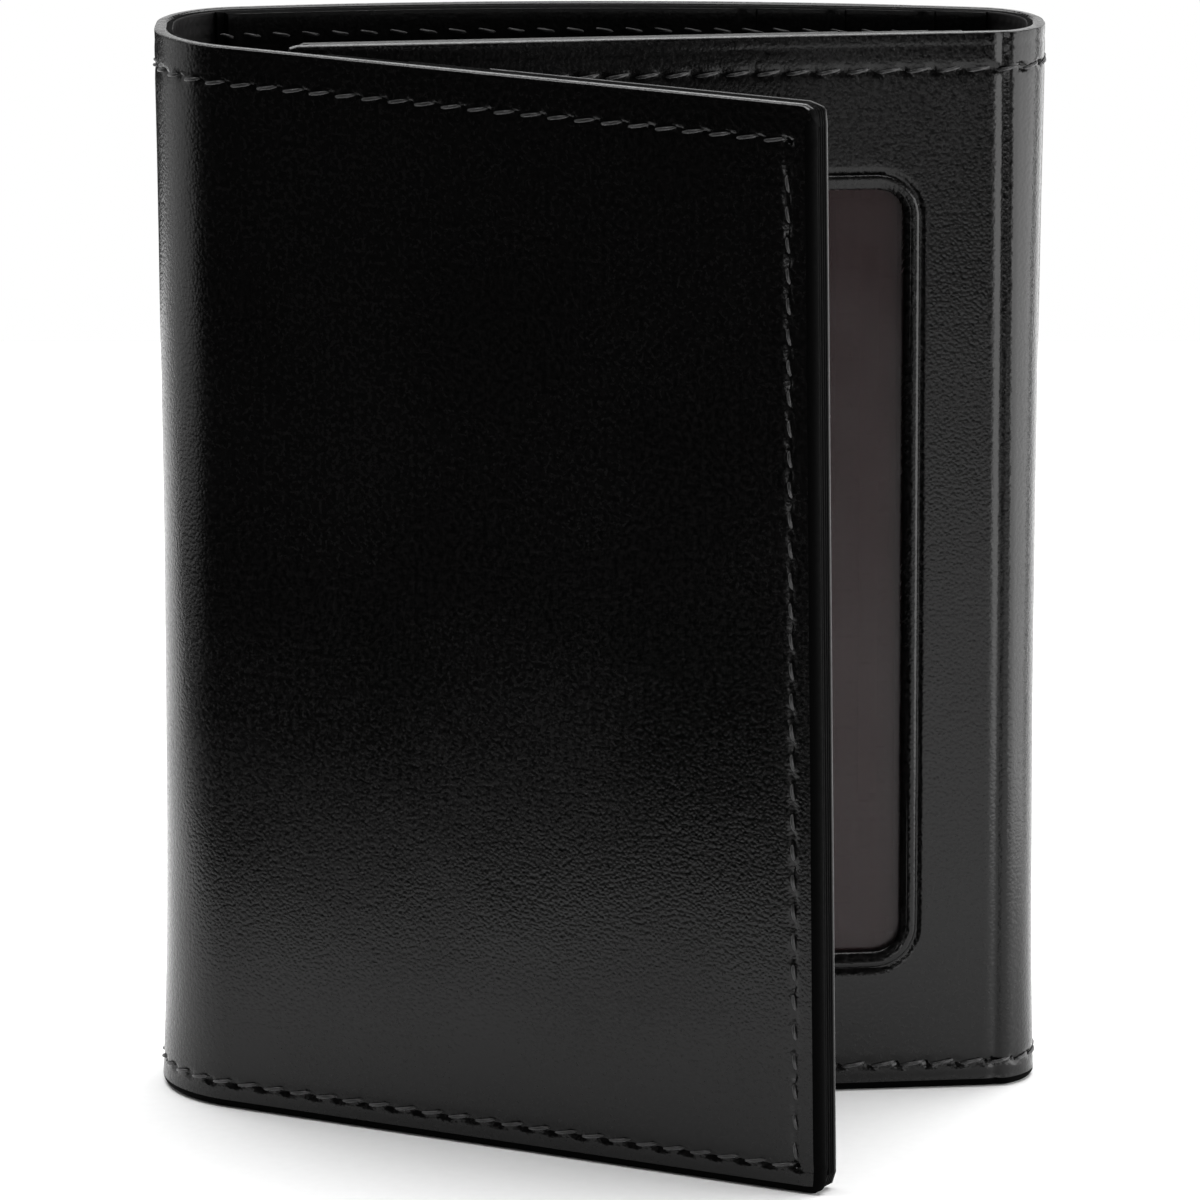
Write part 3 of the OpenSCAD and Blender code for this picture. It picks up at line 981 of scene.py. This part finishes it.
def add_object(name, data):
    made = bpy.data.objects.new(name, data)
    bpy.context.scene.collection.objects.link(made)
    return made


def aim(obj, at):
    obj.rotation_mode = "QUATERNION"
    obj.rotation_quaternion = (Vector(at) - obj.location).to_track_quat("-Z", "Y")


def soft_box(name, at, towards, width, height, watts):
    data = bpy.data.lights.new(name, "AREA")
    data.shape = "RECTANGLE"
    data.size, data.size_y = width, height
    data.energy = watts
    lamp = add_object(name, data)
    lamp.location = at
    aim(lamp, towards)
    lamp.visible_camera = False


FLOOR_SLANT = math.radians(57.6)
FLOOR_NEAR = 0.11
FLOOR_RIGHT = 0.14
FLOOR_FRONT = 0.42
FLOOR_BACK = 0.38


def pale_floor():
    """A sheet of pale card. Its near edge runs slantwise, so the outer flap mirrors little of it."""
    material, tree, shader = new_material("pale_card")
    where = add(tree, "ShaderNodeTexCoord").outputs["Object"]
    fibre = add(tree, "ShaderNodeTexNoise", {"Vector": where, "Scale": 1 / (CARD_FIBRE * MM), "Detail": 3.0})
    tree.links.new(blend_colours(tree, fibre.outputs["Fac"], "#f6f6f6", "#fbfbfb"),
                   shader.inputs["Base Color"])
    shader.inputs["Roughness"].default_value = 0.9
    shader.inputs["Specular IOR Level"].default_value = 0.1
    bm = bmesh.new()
    bmesh.ops.create_grid(bm, x_segments=1, y_segments=1, size=0.5)
    for v in bm.verts:
        v.co.x = -0.6 if v.co.x < 0 else FLOOR_RIGHT
        v.co.y = -FLOOR_FRONT if v.co.y < 0 else FLOOR_BACK
    side = Vector((-math.sin(FLOOR_SLANT), -math.cos(FLOOR_SLANT), 0))
    bmesh.ops.bisect_plane(bm, geom=bm.verts[:] + bm.edges[:] + bm.faces[:], plane_co=side * FLOOR_NEAR,
                           plane_no=side, clear_outer=True)
    floor = to_object("floor", bm, (material,))


pale_floor()

# Name, place, the point it faces, width, height and watts. Each is unseen, and shows only in the gloss.
SOFT_BOXES = (
    ("overhead_box", (0.0, 0.25, 0.9), (0.0, 0.1, 0.0), 1.2, 0.9, 20.0),
    ("left_box", (-0.34, 0.13, 0.13), (0.0, 0.02, 0.10), 0.26, 0.3, 0.25),
    ("right_box", (0.34, -0.08, 0.04), (0.0, -0.05, 0.05), 0.5, 0.28, 1.9),
    ("front_right_box", (0.24, -0.26, 0.04), (0.04, -0.03, 0.05), 0.1, 0.28, 0.13),
    ("back_box", (0.0, 1.3, 0.36), (0.0, 0.0, 0.1), 1.8, 0.5, 3.2),
    ("back_right_box", (0.30, 0.36, 0.03), (0.0, 0.0, 0.05), 0.3, 0.22, 0.5),
    ("front_box", (-0.12, -0.85, 0.09), (0.02, 0.0, 0.05), 0.5, 0.16, 1.0),
)
for box in SOFT_BOXES:
    soft_box(*box)

ROOM_LIGHT = 0.03
WHITE = linear("#ffffff")


def studio():
    """A white backdrop and a dim room, so that the hide mirrors the soft boxes and the floor alone."""
    world = bpy.data.worlds.new("studio")
    world.use_nodes = True
    tree = world.node_tree
    tree.nodes.clear()
    seen = add(tree, "ShaderNodeLightPath").outputs["Is Camera Ray"]
    room = add(tree, "ShaderNodeBackground", {"Color": WHITE, "Strength": ROOM_LIGHT})
    backdrop = add(tree, "ShaderNodeBackground", {"Color": WHITE, "Strength": 1.0})
    both = add(tree, "ShaderNodeMixShader", {0: seen, 1: room.outputs[0], 2: backdrop.outputs[0]})
    add(tree, "ShaderNodeOutputWorld", {"Surface": both.outputs[0]})
    bpy.context.scene.world = world
    bpy.context.scene.view_settings.view_transform = "Standard"


studio()

CAMERA_DISTANCE = 1.15
CAMERA_RISE = math.radians(13.0)
CAMERA_LENS = 349.8
AIM = Vector((0.0, -0.0047, 0.054))


def camera():
    """Looks at the wallet's middle from straight in front, a little above it."""
    data = bpy.data.cameras.new("camera")
    data.lens = CAMERA_LENS
    data.sensor_width = 36.0
    data.clip_end = 20.0
    made = add_object("camera", data)
    made.location = AIM + CAMERA_DISTANCE * Vector((0.0, -math.cos(CAMERA_RISE), math.sin(CAMERA_RISE)))
    aim(made, AIM)
    bpy.context.scene.camera = made


camera()
